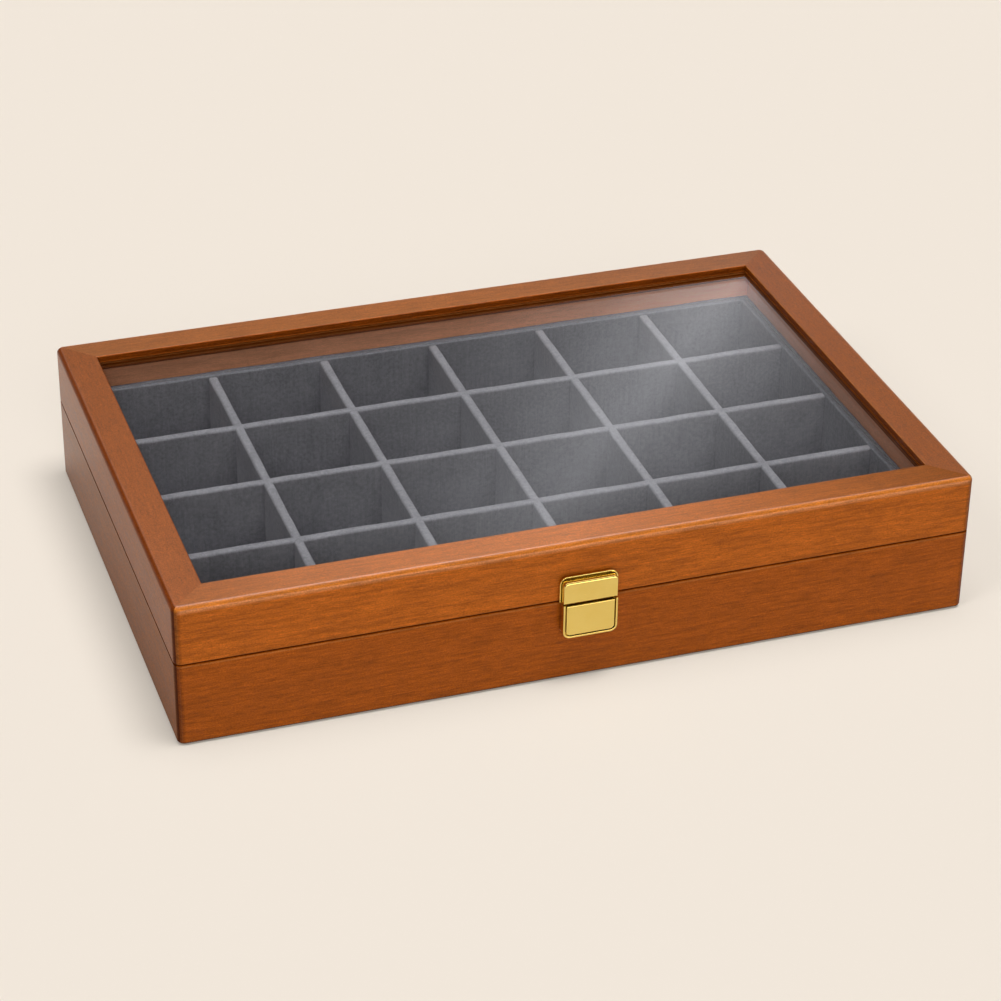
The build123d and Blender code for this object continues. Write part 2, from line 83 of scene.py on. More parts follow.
camera = bpy.data.objects.new("camera", bpy.data.cameras.new("camera"))
camera.data.lens = LENS
camera.data.sensor_width = SENSOR_WIDTH
camera.data.clip_start = 0.05
camera.data.clip_end = 50.0
camera.matrix_world = camera_matrix()
bpy.context.scene.collection.objects.link(camera)
bpy.context.scene.camera = camera
bpy.context.scene.view_settings.view_transform = "Standard"
print("camera at", [round(c, 3) for c in camera.matrix_world.translation])

# %% [markdown]
# Materials here are node graphs. A few small helpers keep each graph short: they make a node
# and set its inputs, make a colour ramp, mix two colours, and turn screen colours (0 to 255)
# into the linear values that shaders work with. The graphs could also be drawn by hand in the
# Shader Editor, but written down they are easy to compare.

# %% Colours and nodes


def linear(red, green, blue):
    """Linear colour from screen values: c/12.92 below 0.04045, else ((c + 0.055)/1.055)^2.4."""
    shares = [value / 255 for value in (red, green, blue)]
    values = [s / 12.92 if s <= 0.04045 else ((s + 0.055) / 1.055) ** 2.4 for s in shares]
    return (*values, 1.0)


def grey(value):
    """A linear grey."""
    return (value, value, value, 1.0)


def new_material(name):
    """An empty material with its output node; returns the material, its tree and the output."""
    material = bpy.data.materials.new(name)
    material.use_nodes = True
    material.node_tree.nodes.clear()
    output = material.node_tree.nodes.new("ShaderNodeOutputMaterial")
    return material, material.node_tree, output


def fill(tree, node, key, value):
    """Link an input that is given a socket, and set one that is given a value."""
    if isinstance(value, bpy.types.NodeSocket):
        tree.links.new(value, node.inputs[key])
    else:
        node.inputs[key].default_value = value


def add(tree, kind, inputs=None, **settings):
    """A node with its settings and its inputs, which may be sockets or values."""
    node = tree.nodes.new("ShaderNode" + kind)
    for key, value in settings.items():
        setattr(node, key, value)
    for key, value in (inputs or {}).items():
        fill(tree, node, key, value)
    return node


print("screen grey 128 in linear colour:", round(linear(128, 128, 128)[0], 4))

# %% Ramps, mixes, sums and noises


def ramp(tree, factor, stops):
    """A colour ramp through (position, colour) stops."""
    node = add(tree, "ValToRGB", {"Fac": factor})
    elements = node.color_ramp.elements
    while len(elements) < len(stops):
        elements.new(0.5)
    for element, (position, colour) in zip(elements, stops):
        element.position = position
        element.color = colour
    return node.outputs["Color"]


def greys(tree, factor, *stops):
    """A ramp through (position, grey) stops."""
    return ramp(tree, factor, [(position, grey(value)) for position, value in stops])


def mix(tree, factor, first, second, blend="MIX"):
    """A colour mix whose factor and colours may be sockets or values."""
    node = add(tree, "Mix", data_type="RGBA", blend_type=blend)
    for index, value in ((0, factor), (6, first), (7, second)):
        fill(tree, node, index, value)
    return node.outputs[2]


def multiply(tree, first, second):
    """Two colours multiplied, as a glaze over a paint."""
    return mix(tree, 1.0, first, second, "MULTIPLY")


def calc(tree, operation, first, second):
    """One sum or comparison of two sockets or values."""
    return add(tree, "Math", {0: first, 1: second}, operation=operation).outputs[0]


def share_of(tree, value, low, high):
    """0 up to low, 1 from high on, and evenly between them."""
    return add(tree, "MapRange", {"Value": value, "From Min": low, "From Max": high}).outputs["Result"]


def noise(tree, vector, scale, detail, rough=0.5, distortion=0.0):
    """The grey value of a noise."""
    values = {"Vector": vector, "Scale": scale, "Detail": detail, "Roughness": rough}
    return add(tree, "TexNoise", values | {"Distortion": distortion}).outputs["Fac"]


def stretched(tree, vector, scale):
    """A vector scaled by a different amount along each axis, which stretches what is drawn on it."""
    return add(tree, "Mapping", {"Vector": vector, "Scale": scale}).outputs["Vector"]


print("helpers ready:", [helper.__name__ for helper in (ramp, greys, mix, multiply, calc, noise)])

# %% [markdown]
# The boards are a straight-grained hardwood under a reddish-brown satin varnish. Each board
# has its own tone, written here as linear colour: partly how it took the stain and partly
# painted light, as each board and rail top is made lighter or darker for how the light falls
# on it. Rounded edges are paler, partly from wear and partly as a painted highlight; the lip,
# undersides, upright corners and the wood close to other parts get painted shade. Such tones,
# with four values, multiply the tone of the board. One image of wood on every board would be
# quicker, but it would repeat, and it would not know where the edges are.

# %% Tones of the wood
# Board and rail-top tones: partly stain, partly painted light set for how the light falls on each board.
LID_FRONT_TONE = (0.495, 0.123, 0.0085)
LID_SIDE_TONE = (0.285, 0.077, 0.0100)
BASE_TONE = (0.375, 0.085, 0.0032)
BASE_SIDE_TONE = (0.255, 0.071, 0.0070)
FRONT_RAIL_TONE = (0.39, 0.110, 0.0165)
BACK_RAIL_TONE = (0.30, 0.097, 0.0235)
RIGHT_RAIL_TONE = (0.275, 0.071, 0.0085)
LEFT_RAIL_TONE = (0.285, 0.077, 0.0140)
BEAD_TONE = (0.22, 0.060, 0.0060)
STICK_TONE = (0.26, 0.075, 0.0140)
# Painted shade on the upright edge of the lip that frames the pane.
LIP_SHADE_TONE = (0.32, 0.064, 0.0025)
# Painted light: the walls inside the lid get a pale tone for the light they lose under the pane.
LIT_WALL_TONE = (0.95, 0.43, 0.24)
# Painted shade on faces that look down.
UNDERSIDE_SHADE = (0.16, 0.07, 0.03, 1.0)
BOUNCE_TONE = (0.12, 0.09, 0.07, 1.0)
PLAIN_TONE = (1.0, 1.0, 1.0, 1.0)
# Painted shade on the rounded upright corners.
CORNER_SHADE_TONE = (0.44, 0.40, 0.40, 1.0)
# Painted highlight on the front of the lid just below its rounded edge.
BRIM_HIGHLIGHT = (1.24, 1.78, 8.0, 1.0)
# Painted highlight just below the joint, and painted shadow in it.
JOINT_HIGHLIGHT = (1.14, 1.45, 5.0, 1.0)
JOINT_SHADOW = (0.78, 0.66, 0.85, 1.0)
# Painted shade and light under the pane, in bands on the moulding and the walls beside it.
BEAD_SHADED = (0.42, 0.30, 0.18, 1.0)
BEAD_DARK = (0.27, 0.14, 0.04, 1.0)
BEAD_ROUND = (0.38, 0.27, 0.12, 1.0)
BEAD_BLACK = (0.20, 0.09, 0.0, 1.0)
BEAD_LIT = (0.60, 0.40, 0.16, 1.0)

# An edge: its tone, its coat, where its mask ends, and the tone of the millimetre below it.
# The pale edge tones are partly wear and partly a painted highlight; on the rubbed right rail
# and on the front brim they are a painted highlight.
WORN_AND_LIT_EDGE = ((1.10, 1.15, 1.3, 1.0), 1.0, 0.992, PLAIN_TONE)
HIGHLIT_EDGE = ((1.40, 1.65, 2.2, 1.0), 1.0, 0.995, PLAIN_TONE)
SOFT_EDGE = ((1.0, 1.0, 1.1, 1.0), 0.4, 0.995, PLAIN_TONE)
BRIM_HIGHLIT_EDGE = ((1.12, 1.34, 2.1, 1.0), 0.62, 0.992, BRIM_HIGHLIGHT)
# Painted shade on the outer rounded edge of the left boards.
SHADED_EDGE = ((0.62, 0.46, 0.26, 1.0), 0.15, 0.9995, PLAIN_TONE)
DULL_EDGE = (PLAIN_TONE, 0.1, 0.992, PLAIN_TONE)

# Five levels along a board, from its left or front end to the other.
EVEN = (1.0, 1.0, 1.0, 1.0, 1.0)
DULL = (0.12, 0.12, 0.12, 0.12, 0.12)
# Painted light along the inner front and back walls, lighter towards the right.
LIT_WALL_LEVELS = (0.92, 0.96, 1.18, 1.40, 1.50)
UNPOLISHED = (EVEN, EVEN)


def shade(tone, share):
    """A linear tone made lighter or darker by a share of itself."""
    return (*(value * share for value in tone), 1.0)


print("lid front in linear colour:", shade(LID_FRONT_TONE, 1.0))

# %% [markdown]
# The joint between lid and base gets a painted shadow, with a painted highlight under it. The
# moulding under the pane and the walls beside it get bands of painted shade and light, and the
# upright edge of the lip gets painted shade.
# All of these run level round the box, so a few heights and half-widths describe them. They
# could be painted by hand, but measured from the imported parts they follow every change.

# %% Levels and lines on the box
PANE_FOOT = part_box("glass_pane")[0][2]
PANE_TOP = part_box("glass_pane")[1][2]
BEAD_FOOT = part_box("glass_bead_back")[0][2]
BASE_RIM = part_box("base_front")[1][2]
INSIDE_X = 153.3 * MM
INSIDE_Y = 98.3 * MM
INSIDE_TOP = PANE_TOP - 0.5 * MM
LIP_X = 150.1 * MM
LIP_Y = 95.1 * MM
LIP_LOW = PANE_TOP - 0.3 * MM
BRIM_LOW = 59.0 * MM
BRIM_HIGH = 60.2 * MM
JOINT_LOW = BASE_RIM - 1.2 * MM
JOINT_HIGH = BASE_RIM + 0.8 * MM
BEAD_SHADE_STOPS = [
    (0.0, PLAIN_TONE), (0.06, BEAD_SHADED), (0.22, BEAD_SHADED), (0.28, BEAD_DARK), (0.44, BEAD_DARK),
    (0.48, BEAD_ROUND), (0.58, BEAD_ROUND), (0.64, BEAD_BLACK), (0.90, BEAD_BLACK),
    (0.94, BEAD_LIT), (1.0, BEAD_LIT)]
JOINT_SHADING_STOPS = [
    (0.0, PLAIN_TONE), (0.08, JOINT_HIGHLIGHT), (0.36, JOINT_HIGHLIGHT), (0.46, JOINT_SHADOW),
    (0.72, JOINT_SHADOW), (0.80, PLAIN_TONE)]
JOINT_COAT = [(0.38, grey(1.0)), (0.42, grey(0.0)), (0.93, grey(0.0)), (0.97, grey(1.0))]
BOARD_HALF = 0.16
DRIFT_STOPS = (0.0, 0.15, 0.5, 0.8, 1.0)


def within(tree, place, half_x, half_y):
    """1 where |x| and |y| are below their limits."""
    size = add(tree, "VectorMath", {0: place}, operation="ABSOLUTE").outputs["Vector"]
    parts = add(tree, "SeparateXYZ", {"Vector": size}).outputs
    across = calc(tree, "LESS_THAN", parts["X"], half_x)
    deep = calc(tree, "LESS_THAN", parts["Y"], half_y)
    return calc(tree, "MULTIPLY", across, deep)


def inside_mask(tree, place, height):
    """1 on the faces that look into the box: within the walls and below the lip."""
    low = calc(tree, "LESS_THAN", height, INSIDE_TOP)
    return calc(tree, "MULTIPLY", within(tree, place, INSIDE_X, INSIDE_Y), low)


def lip_shade_mask(tree, place, height):
    """1 on the upright edge that frames the pane, which is darkened there as painted shade."""
    above = calc(tree, "GREATER_THAN", height, LIP_LOW)
    return calc(tree, "MULTIPLY", within(tree, place, LIP_X, LIP_Y), above)


def height_lines(tree, height, low, high, stops):
    """Tone by height alone: painted shade and highlights along lines that run level round the box."""
    return ramp(tree, share_of(tree, height, low, high), stops)


def brim_highlight_mask(tree, height, rounded, up):
    """A painted highlight on the front of the lid for a millimetre below its rounded edge."""
    side = calc(tree, "SUBTRACT", 1.0, calc(tree, "MAXIMUM", rounded, up))
    return calc(tree, "MULTIPLY", share_of(tree, height, BRIM_LOW, BRIM_HIGH), side)


def drift(tree, along, levels):
    """A tone that changes slowly along the board: five levels, from its start to its end."""
    return greys(tree, share_of(tree, along, -BOARD_HALF, BOARD_HALF), *zip(DRIFT_STOPS, levels))


print("joint at", round(BASE_RIM / MM, 2), "mm")
print("pane from", round(PANE_FOOT / MM, 2), "to", round(PANE_TOP / MM, 2), "mm")

# %% [markdown]
# The rest goes by which way a face looks. On a rounded edge the largest of |x|, |y| and |z| of
# the normal falls below 1. Faces that look up get the tone of a rail's top, and faces that
# look down get painted shade. The upright corners get painted shade and little coat. Such
# masks could be painted on the vertices, but a normal is already there.

# %% Masks from the normal
CORNER_REACH = 2.2 * MM


def board_facing(tree, edge_end):
    """Masks from the board's own normal: rounded edges, faces that look up, faces that look down (painted
    shade), and the rounded upright corners (painted shade). The edge mask ends where the largest part of the
    normal reaches edge_end."""
    normal = add(tree, "TexCoord").outputs["Normal"]
    size = add(tree, "VectorMath", {0: normal}, operation="ABSOLUTE").outputs["Vector"]
    parts = add(tree, "SeparateXYZ", {"Vector": size}).outputs
    flat = calc(tree, "MAXIMUM", calc(tree, "MAXIMUM", parts["X"], parts["Y"]), parts["Z"])
    edge = greys(tree, flat, (edge_end - 0.09, 1.0), (edge_end, 0.0))
    upward = add(tree, "SeparateXYZ", {"Vector": normal}).outputs["Z"]
    up = greys(tree, upward, (0.90, 0.0), (0.99, 1.0))
    under = greys(tree, calc(tree, "MULTIPLY", upward, -1.0), (0.08, 0.0), (0.35, 1.0))
    both = calc(tree, "MINIMUM", parts["X"], parts["Y"])
    turned = greys(tree, both, (0.0, 0.0), (0.18, 0.45), (0.55, 1.0))
    level = greys(tree, parts["Z"], (0.20, 1.0), (0.60, 0.0))
    return edge, up, under, calc(tree, "MULTIPLY", turned, level)


def corner_shade(tree):
    """Painted shade where another part stands close: round the clasp and at the foot of the lip."""
    near = add(tree, "AmbientOcclusion", {"Distance": CORNER_REACH}, samples=4).outputs["AO"]
    return greys(tree, near, (0.40, 0.45), (0.85, 1.0))


print("corners darken over", CORNER_REACH / MM, "mm")

# %% [markdown]
# The grain itself is noise, stretched along the board: broad bands of tone, a faint cloud,
# fine lines, finer fibres and a speckle. Boards that run from front to back show a calmer,
# pebbled face. The pattern reads Object coordinates, turned so that the grain follows each
# board's length, and each board has its own offset, so that no two boards share a figure.
# Real varnish reflects little head-on and much at a glancing angle, which is why the side of
# the box looks veiled: a coat with a low index does that by itself.

# %% Varnished wood
SIDE_SHINE = 0.06
TOP_SHINE = 0.9
FLAT_COAT = 0.42
CORNER_COAT = 0.06
CALM_ACROSS = (0.0, 0.35)
CALM_ALONG = (0.55, 0.75)
SWAY = (0.0, 0.0007, 0.0007)
WALL_SOFTENING = 0.6


def grain_place(tree, place, along_y, offset):
    """Coordinates that follow the grain: turned to the board's length, moved to the board's own part of
    the noise, and swayed across the grain by at most 0.35 mm."""
    turn = (0, 0, math.radians(90) if along_y else 0)
    board = add(tree, "Mapping", {"Vector": place, "Location": offset, "Rotation": turn}).outputs["Vector"]
    loose = stretched(tree, board, (140, 90, 90))
    sway = add(tree, "TexNoise", {"Vector": loose, "Scale": 1.0, "Detail": 2.0})
    centred = add(tree, "VectorMath", {0: sway.outputs["Color"], 1: (0.5, 0.5, 0.5)}, operation="SUBTRACT")
    lift = add(tree, "VectorMath", {0: centred.outputs["Vector"], 1: SWAY}, operation="MULTIPLY")
    return add(tree, "VectorMath", {0: board, 1: lift.outputs["Vector"]}, operation="ADD").outputs["Vector"]


def board_tones(tree, place, height, along, tone, top_tone, top_levels, lit_wall_levels, up):
    """The tones before the grain: side and top of the board (stain, partly painted light), the walls that
    look into the box (painted light) and the lip (painted shade).
    """
    top = multiply(tree, shade(top_tone, 1.0), drift(tree, along, top_levels))
    tones = mix(tree, up, shade(tone, 1.0), top)
    inside = inside_mask(tree, place, height)
    # Painted light on the walls that look into the box.
    walls = multiply(tree, shade(LIT_WALL_TONE, 1.0), drift(tree, along, lit_wall_levels))
    tones = mix(tree, inside, tones, walls)
    # Painted shade on the lip.
    lip = calc(tree, "MULTIPLY", lip_shade_mask(tree, place, height), calc(tree, "SUBTRACT", 1.0, up))
    return mix(tree, lip, tones, shade(LIP_SHADE_TONE, 1.0)), walls, inside


def varnished_wood(name, along_y, offset, tone, top_tone, top_levels=EVEN, edge=WORN_AND_LIT_EDGE, polish=UNPOLISHED):
    """Grain along X, or along Y when asked. The offset moves the figure; the tones are the board's colour,
    partly stain and partly painted light, and that of its top face, which drifts along the board by the
    given levels. The edge is one of the edges above; the polish is how the gloss of the side and of the top
    drifts."""
    material, tree, output = new_material(name)
    place = add(tree, "TexCoord").outputs["Object"]
    parts = add(tree, "SeparateXYZ", {"Vector": place}).outputs
    along, height = parts["Y" if along_y else "X"], parts["Z"]
    edge_tone, edge_coat, edge_end, brim_highlight_tone = edge
    rounded, up, under, corner = board_facing(tree, edge_end)
    grain = grain_place(tree, place, along_y, offset)
    bands = noise(tree, stretched(tree, grain, (5, 90, 90)), 1.0, 3.0)
    cloud = noise(tree, stretched(tree, grain, (40, 55, 55)), 1.0, 2.0)
    lines = noise(tree, stretched(tree, grain, (60, 760, 760)), 1.0, 1.0)
    fibres = noise(tree, stretched(tree, grain, (230, 1900, 1900)), 1.0, 1.0, 0.6)
    speckle = noise(tree, stretched(tree, grain, (1500, 2300, 2300)), 1.0, 1.0)
    pebble = noise(tree, grain, 1900.0, 1.0)
    line_tone = greys(tree, lines, (0.32, 0.80), (0.50, 1.0), (0.68, 1.15))
    pebble_tone = greys(tree, pebble, (0.32, 0.72), (0.68, 1.27))
    calm_side, calm_top = CALM_ALONG if along_y else CALM_ACROSS
    calm = greys(tree, up, (0.0, calm_side), (1.0, calm_top))
    lit_wall_levels = EVEN if along_y else LIT_WALL_LEVELS
    colour, walls, inside = board_tones(
        tree, place, height, along, tone, top_tone, top_levels, lit_wall_levels, up)
    brim_highlight = brim_highlight_mask(tree, height, rounded, up)
    layers = [
        greys(tree, bands, (0.30, 0.96), (0.70, 1.04)),
        greys(tree, cloud, (0.25, 0.97), (0.75, 1.03)),
        mix(tree, calm, line_tone, pebble_tone),
        greys(tree, fibres, (0.30, 0.83), (0.70, 1.15)),
        greys(tree, speckle, (0.30, 0.80), (0.70, 1.19)),
        ramp(tree, rounded, [(0.0, grey(1.0)), (1.0, edge_tone)]),
        # Painted shade on the upright corners.
        ramp(tree, corner, [(0.0, grey(1.0)), (1.0, CORNER_SHADE_TONE)]),
        ramp(tree, brim_highlight, [(0.0, grey(1.0)), (1.0, brim_highlight_tone)]),
        # Painted shadow in the joint and painted highlight under it.
        height_lines(tree, height, JOINT_LOW, JOINT_HIGH, JOINT_SHADING_STOPS)]
    for layer in layers:
        colour = multiply(tree, colour, layer)
    # Painted shade bands on the moulding and the walls under the pane.
    bead_shade = height_lines(tree, height, BEAD_FOOT, PANE_FOOT, BEAD_SHADE_STOPS)
    colour = mix(tree, calc(tree, "MULTIPLY", inside, WALL_SOFTENING), colour, walls)
    colour = mix(tree, inside, colour, multiply(tree, colour, bead_shade))
    outside = calc(tree, "SUBTRACT", 1.0, inside)
    # Painted shade on the wood where another part stands close.
    colour = mix(tree, outside, colour, multiply(tree, colour, corner_shade(tree)))
    # Painted shade on faces that look down.
    colour = mix(tree, under, colour, UNDERSIDE_SHADE)
    bounced = calc(tree, "MULTIPLY", add(tree, "LightPath").outputs["Is Diffuse Ray"], outside)
    colour = mix(tree, bounced, colour, BOUNCE_TONE)
    side_levels, upper_levels = polish
    gloss = mix(tree, up, drift(tree, along, side_levels), drift(tree, along, upper_levels))
    gloss = mix(tree, under, gloss, grey(0.0))
    gloss = multiply(tree, gloss, height_lines(tree, height, JOINT_LOW, JOINT_HIGH, JOINT_COAT))
    coat = multiply(tree, greys(tree, rounded, (0.0, FLAT_COAT), (1.0, edge_coat)), gloss)
    coat = mix(tree, corner, coat, grey(CORNER_COAT))
    shine = multiply(tree, greys(tree, up, (0.0, SIDE_SHINE), (1.0, TOP_SHINE)), gloss)
    index = add(tree, "MapRange", {"Value": rounded, "To Min": 1.27, "To Max": 1.5}).outputs["Result"]
    coat_rough = add(tree, "MapRange", {"Value": rounded, "To Min": 0.14, "To Max": 0.30}).outputs["Result"]
    rough = greys(tree, fibres, (0.2, 0.40), (0.8, 0.50))
    bump = add(tree, "Bump", {"Height": mix(tree, 0.5, fibres, lines), "Strength": 0.25, "Distance": 0.0001})
    wood = add(tree, "BsdfPrincipled", {
        "Base Color": colour, "Roughness": rough, "Normal": bump.outputs["Normal"],
        "Specular IOR Level": shine, "Coat Weight": coat, "Coat Roughness": coat_rough, "Coat IOR": index})
    tree.links.new(wood.outputs["BSDF"], output.inputs["Surface"])
    return material


print("coat of a flat face:", FLAT_COAT, "and of an upright corner:", CORNER_COAT)

# %% [markdown]
# Each packed board now gets its own wood. The first value says whether the grain runs along
# Y, and the three numbers after it are the board's own place in the noise. A few boards also
# drift in tone or polish from one end to the other. On the top of the front rail the drift is a
# painted sheen, lightest in the middle and fading most towards the right.

# %% The boards
BOARDS = {
    "base_front": (False, (0.00, 0.31, 0.12), BASE_TONE, BASE_TONE),
    "base_back": (False, (0.52, 0.17, 0.43), BASE_TONE, BASE_TONE),
    "base_left": (True, (0.23, 0.71, 0.31), BASE_SIDE_TONE, BASE_SIDE_TONE, EVEN,
                  SHADED_EDGE, ((0.35, 0.42, 0.64, 1.05, 1.40), EVEN)),
    "base_right": (True, (0.41, 0.13, 0.57), BASE_SIDE_TONE, BASE_SIDE_TONE),
    # The top levels of lid_front are a painted sheen.
    "lid_front": (False, (0.87, 0.05, 0.24), LID_FRONT_TONE, FRONT_RAIL_TONE, (0.90, 1.22, 1.43, 0.98, 0.62),
                  BRIM_HIGHLIT_EDGE, (EVEN, (1.2, 1.9, 2.2, 0.8, 0.35))),
    "lid_back": (False, (0.33, 0.63, 0.71), LID_FRONT_TONE, BACK_RAIL_TONE, (1.04, 1.12, 1.26, 1.15, 1.0),
                 SOFT_EDGE),
    "lid_left": (True, (0.61, 0.29, 0.11), LID_SIDE_TONE, LEFT_RAIL_TONE, (1.18, 1.12, 1.02, 0.95, 0.90),
                 SHADED_EDGE, ((0.60, 0.62, 0.72, 1.02, 1.25), EVEN)),
    "lid_right": (True, (0.19, 0.47, 0.37), LID_SIDE_TONE, RIGHT_RAIL_TONE, EVEN, HIGHLIT_EDGE),
    "glass_bead_front": (False, (0.71, 0.11, 0.53), BEAD_TONE, BEAD_TONE),
    "glass_bead_back": (False, (0.13, 0.83, 0.29), BEAD_TONE, BEAD_TONE),
    "glass_bead_left": (True, (0.37, 0.59, 0.17), BEAD_TONE, BEAD_TONE),
    "glass_bead_right": (True, (0.79, 0.23, 0.61), BEAD_TONE, BEAD_TONE)}


def dress(node, material):
    """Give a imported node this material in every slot."""
    mesh = nodes[node].data
    if not mesh.materials:
        mesh.materials.append(material)
    for index in range(len(mesh.materials)):
        mesh.materials[index] = material


for board_name, board_look in BOARDS.items():
    dress(board_name, varnished_wood("varnished_" + board_name, *board_look))
print("boards dressed:", len(BOARDS))

# %% [markdown]
# The bottom is a thin plywood panel with dark felt glued under it. Felt and suede are the
# same cloth to the eye: a short nap that scatters light and pales at its rim. Hair could grow
# the nap, but at this size a fine noise and a sheen look the same and cost little.

# %% Bottom panel


def plywood():
    """Pale veneer: long soft noise bands across a light brown."""
    material, tree, output = new_material("plywood")
    place = add(tree, "TexCoord").outputs["Object"]
    bands = noise(tree, stretched(tree, place, (4, 160, 160)), 1.0, 4.0, 0.6)
    colour = ramp(tree, bands, [(0.3, linear(150, 108, 70)), (0.7, linear(196, 156, 110))])
    bump = add(tree, "Bump", {"Height": bands, "Strength": 0.2, "Distance": 0.0002}).outputs["Normal"]
    veneer = add(tree, "BsdfPrincipled", {"Base Color": colour, "Roughness": 0.65, "Normal": bump})
    tree.links.new(veneer.outputs["BSDF"], output.inputs["Surface"])
    return material


dress("base_bottom", plywood())
print("bottom panel:", nodes["base_bottom"].data.materials[0].name)

# %% Felt and suede
BRUSHED = 0.2


def napped_cloth(name, dark, light, sheen, nap_height, top_tone=PLAIN_TONE):
    """Suede or felt: a fine noise for the nap, a broad one for brushed patches, and sheen. Faces that
    look up are multiplied by the top tone."""
    material, tree, output = new_material(name)
    place = add(tree, "TexCoord").outputs["Object"]
    nap = noise(tree, place, 2600.0, 2.0, 0.6)
    clumps = noise(tree, place, 700.0, 2.0, 0.55)
    patches = noise(tree, place, 55.0, 3.0, 0.55, 0.6)
    strokes = noise(tree, stretched(tree, place, (1500, 1500, 45)), 1.0, 2.0, 0.6)
    mottle = mix(tree, 0.5, nap, clumps)
    mottle = mix(tree, 0.22, mottle, strokes)
    mottle = mix(tree, BRUSHED, mottle, patches)
    colour = ramp(tree, mottle, [(0.39, dark), (0.61, light)])
    upward = add(tree, "SeparateXYZ", {"Vector": add(tree, "TexCoord").outputs["Normal"]}).outputs["Z"]
    colour = multiply(tree, colour, ramp(tree, upward, [(0.55, PLAIN_TONE), (0.95, top_tone)]))
    height = mix(tree, 0.4, nap, clumps)
    bump = add(tree, "Bump", {"Height": height, "Strength": 0.55, "Distance": nap_height})
    cloth = add(tree, "BsdfPrincipled", {
        "Base Color": colour, "Roughness": 0.95, "Normal": bump.outputs["Normal"], "Specular IOR Level": 0.1,
        "Sheen Weight": sheen, "Sheen Roughness": 0.45, "Sheen Tint": linear(222, 220, 228)})
    tree.links.new(cloth.outputs["BSDF"], output.inputs["Surface"])
    return material


FELT_NAP = 0.3 * MM
SUEDE_NAP = 0.25 * MM
SUEDE_DARK = linear(129, 128, 134)
SUEDE_PALE = linear(161, 160, 166)
# Painted light: the tops of the dividers are made lighter than their sides.
LIT_TOP = (1.15, 1.15, 1.16, 1.0)
RIM_TOP = (0.80, 0.84, 0.88, 1.0)
dress("base_felt", napped_cloth("black_felt", linear(28, 28, 30), linear(52, 52, 55), 0.2, FELT_NAP))
suede = napped_cloth("grey_suede", SUEDE_DARK, SUEDE_PALE, 0.2, SUEDE_NAP, LIT_TOP)
rim_suede = napped_cloth("rim_suede", SUEDE_DARK, SUEDE_PALE, 0.1, SUEDE_NAP, RIM_TOP)
print("cloths:", [cloth.name for cloth in (nodes["base_felt"].data.materials[0], suede, rim_suede)])

# %% [markdown]
# The clasp is pressed and machined brass, finely brushed and lacquered, so its faces are
# softly mirror-like and its bevels catch the light. Brushing is a noise stretched many times
# along X that drives a faint bump and the roughness. Anisotropy could do it too, but it needs
# a tangent on every face. The catch, the pins and the strike are steel.

# %% Brass and steel
CREVICE_DEPTH = 0.6 * MM
# Painted shade: brass within 0.6 mm of another surface turns brown.
CREVICE_SHADE = linear(84, 58, 18)
BRUSH_ALONG_X = (60, 5200, 5200)


def brushed_metal(name, pale, deep, rough_low, rough_high):
    """Metal whose colour drifts between two tones, with painted brown shade in its crevices and brush lines
    along X.
    """
    material, tree, output = new_material(name)
    place = add(tree, "TexCoord").outputs["Object"]
    strokes = noise(tree, stretched(tree, place, BRUSH_ALONG_X), 1.0, 3.0, 0.6)
    tarnish = noise(tree, place, 180.0, 3.0, 0.6)
    colour = ramp(tree, tarnish, [(0.2, deep), (0.8, pale)])
    crevice_shade = add(tree, "AmbientOcclusion", {"Distance": CREVICE_DEPTH}, samples=8).outputs["AO"]
    colour = mix(tree, greys(tree, crevice_shade, (0.25, 1.0), (0.75, 0.0)), colour, CREVICE_SHADE)
    rough = greys(tree, strokes, (0.25, rough_low), (0.75, rough_high))
    bump = add(tree, "Bump", {"Height": strokes, "Strength": 0.05, "Distance": 0.0001})
    metal = add(tree, "BsdfPrincipled", {
        "Base Color": colour, "Metallic": 1.0, "Roughness": rough, "Normal": bump.outputs["Normal"]})
    tree.links.new(metal.outputs["BSDF"], output.inputs["Surface"])
    return material


clasp_brass = brushed_metal("lacquered_brass", linear(232, 205, 118), linear(228, 198, 108), 0.10, 0.17)
hinge_brass = brushed_metal("hinge_brass", linear(216, 178, 98), linear(190, 148, 74), 0.22, 0.38)
steel = brushed_metal("bright_steel", linear(200, 201, 204), linear(172, 173, 176), 0.2, 0.34)
METAL_NODES = (
    (clasp_brass, "clasp_housing clasp_button clasp_lid_plate clasp_lid_block"),
    (hinge_brass, "clasp_base_pins clasp_lid_rivets hinge_screws_base hinge_screws_lid"),
    (hinge_brass, "hinge_base_leaf_left hinge_base_leaf_right hinge_lid_leaf_left hinge_lid_leaf_right"),
    (steel, "clasp_strike clasp_catch_spring hinge_pin_left hinge_pin_right"))
for metal, metal_names in METAL_NODES:
    for metal_node in metal_names.split():
        dress(metal_node, metal)
    print(metal.name, "on", metal_names)

# %% [markdown]
# The pane is 3 mm float glass. The shader is real refracting glass for what the eye sees, so
# the tray looks raised as it does through a pane. Lamps would then only reach the tray by
# lucky refracted rays, which is slow and grainy, so shadow and diffuse rays pass straight
# through a clear stand-in with a nearly neutral tint.

# %% Glass
CLEAR_TINT = (0.93, 0.935, 0.93, 1.0)
GLASS_TINT = (0.99, 0.992, 0.99, 1.0)
GLASS_INDEX = 1.5


